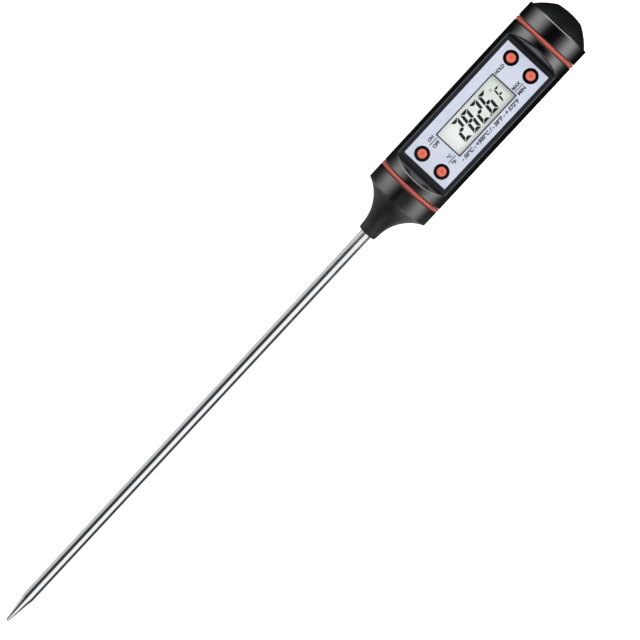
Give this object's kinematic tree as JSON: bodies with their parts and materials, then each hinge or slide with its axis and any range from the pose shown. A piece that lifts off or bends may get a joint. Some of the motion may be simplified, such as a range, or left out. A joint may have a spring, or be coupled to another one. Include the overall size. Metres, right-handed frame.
{
  "type": "soil thermometer probe",
  "caption": "Pen-type digital thermometer: long pointed steel probe, black round handle with sealing rings, recessed display face, press keys and screw cap.",
  "frame": {"origin": "middle of the footprint, on the surface that the two sealing rings rest on", "axes": "+X along the probe's axis from its point to the battery cap, +Z out of the display face, +Y towards the top of the lettering"},
  "size_m": [0.23, 0.02, 0.02],
  "materials": {
    "black_abs": "satin",
    "cap_abs": "satin",
    "ring_rubber": "satin",
    "key_rubber": "satin",
    "label_film": "satin",
    "clear_plastic": "gloss",
    "steel": "polished",
    "nickel": "satin",
    "brass": "satin",
    "board": "satin",
    "white_abs": "satin",
    "switch_case": "matte",
    "switch_stem": "matte",
    "display_glass": "gloss",
    "display_foil": "satin",
    "zebra_rubber": "matte",
    "epoxy": "gloss",
    "ceramic": "matte",
    "bead_glass": "gloss",
    "red_wire": "satin",
    "black_wire": "satin",
    "enamel_wire": "satin",
    "sleeving": "matte"
  },
  "bodies": {
    "handle": {"housing": "black_abs", "nose_cone": "black_abs", "lower_o_ring": "ring_rubber", "face_label": "label_film", "display_window": "clear_plastic", "circuit_board": "board", "display_frame": "white_abs", "lcd_front_glass": "display_glass", "lcd_rear_glass": "display_glass", "lcd_reflector": "display_foil", "zebra_strip_left": "zebra_rubber", "zebra_strip_right": "zebra_rubber", "frame_screw_nose_end": "nickel", "frame_screw_cap_end": "nickel", "chip_blob": "epoxy", "crystal": "nickel", "capacitor": "ceramic", "battery_holder": "switch_case", "button_cell": "nickel", "spring_contact": "nickel", "side_contact": "nickel", "battery_lead_positive": "red_wire", "battery_lead_negative": "black_wire", "probe_tube": "steel", "probe_tip": "steel", "probe_ferrule": "brass", "potting_plug": "epoxy", "thermistor_bead": "bead_glass", "thermistor_lead_left": "enamel_wire", "thermistor_lead_right": "enamel_wire", "lead_sleeve": "sleeving", "hold_switch": "switch_case", "max_min_switch": "switch_case", "on_off_switch": "switch_case", "unit_switch": "switch_case"},
    "hold_button": {"hold_key": "key_rubber", "hold_plunger": "switch_stem"},
    "max_min_button": {"max_min_key": "key_rubber", "max_min_plunger": "switch_stem"},
    "on_off_button": {"on_off_key": "key_rubber", "on_off_plunger": "switch_stem"},
    "unit_button": {"unit_key": "key_rubber", "unit_plunger": "switch_stem"},
    "cap_seal": {"upper_o_ring": "ring_rubber"},
    "cap": {"battery_cap": "cap_abs"}
  },
  "joints": [
    {"name": "hold_press", "type": "slide", "parent": "handle", "child": "hold_button", "axis": [0, 0, -1], "range_m": [0, 0.0003], "stiffness_N_per_m": 1500},
    {"name": "max_min_press", "type": "slide", "parent": "handle", "child": "max_min_button", "axis": [0, 0, -1], "range_m": [0, 0.0003], "stiffness_N_per_m": 1500},
    {"name": "on_off_press", "type": "slide", "parent": "handle", "child": "on_off_button", "axis": [0, 0, -1], "range_m": [0, 0.0003], "stiffness_N_per_m": 1500},
    {"name": "unit_press", "type": "slide", "parent": "handle", "child": "unit_button", "axis": [0, 0, -1], "range_m": [0, 0.0003], "stiffness_N_per_m": 1500},
    {"name": "cap_turn", "type": "hinge", "parent": "handle", "child": "cap_seal", "pos_m": [0.1048, 0, 0.01], "axis": [1, 0, 0], "range_deg": [0, 1080]},
    {"name": "cap_travel", "type": "slide", "parent": "cap_seal", "child": "cap", "axis": [1, 0, 0], "range_m": [0, 0.00375]}
  ],
  "couplings": [
    {"joint": "cap_travel", "follows": "cap_turn", "m_per_rad": 0.00019894}
  ]
}
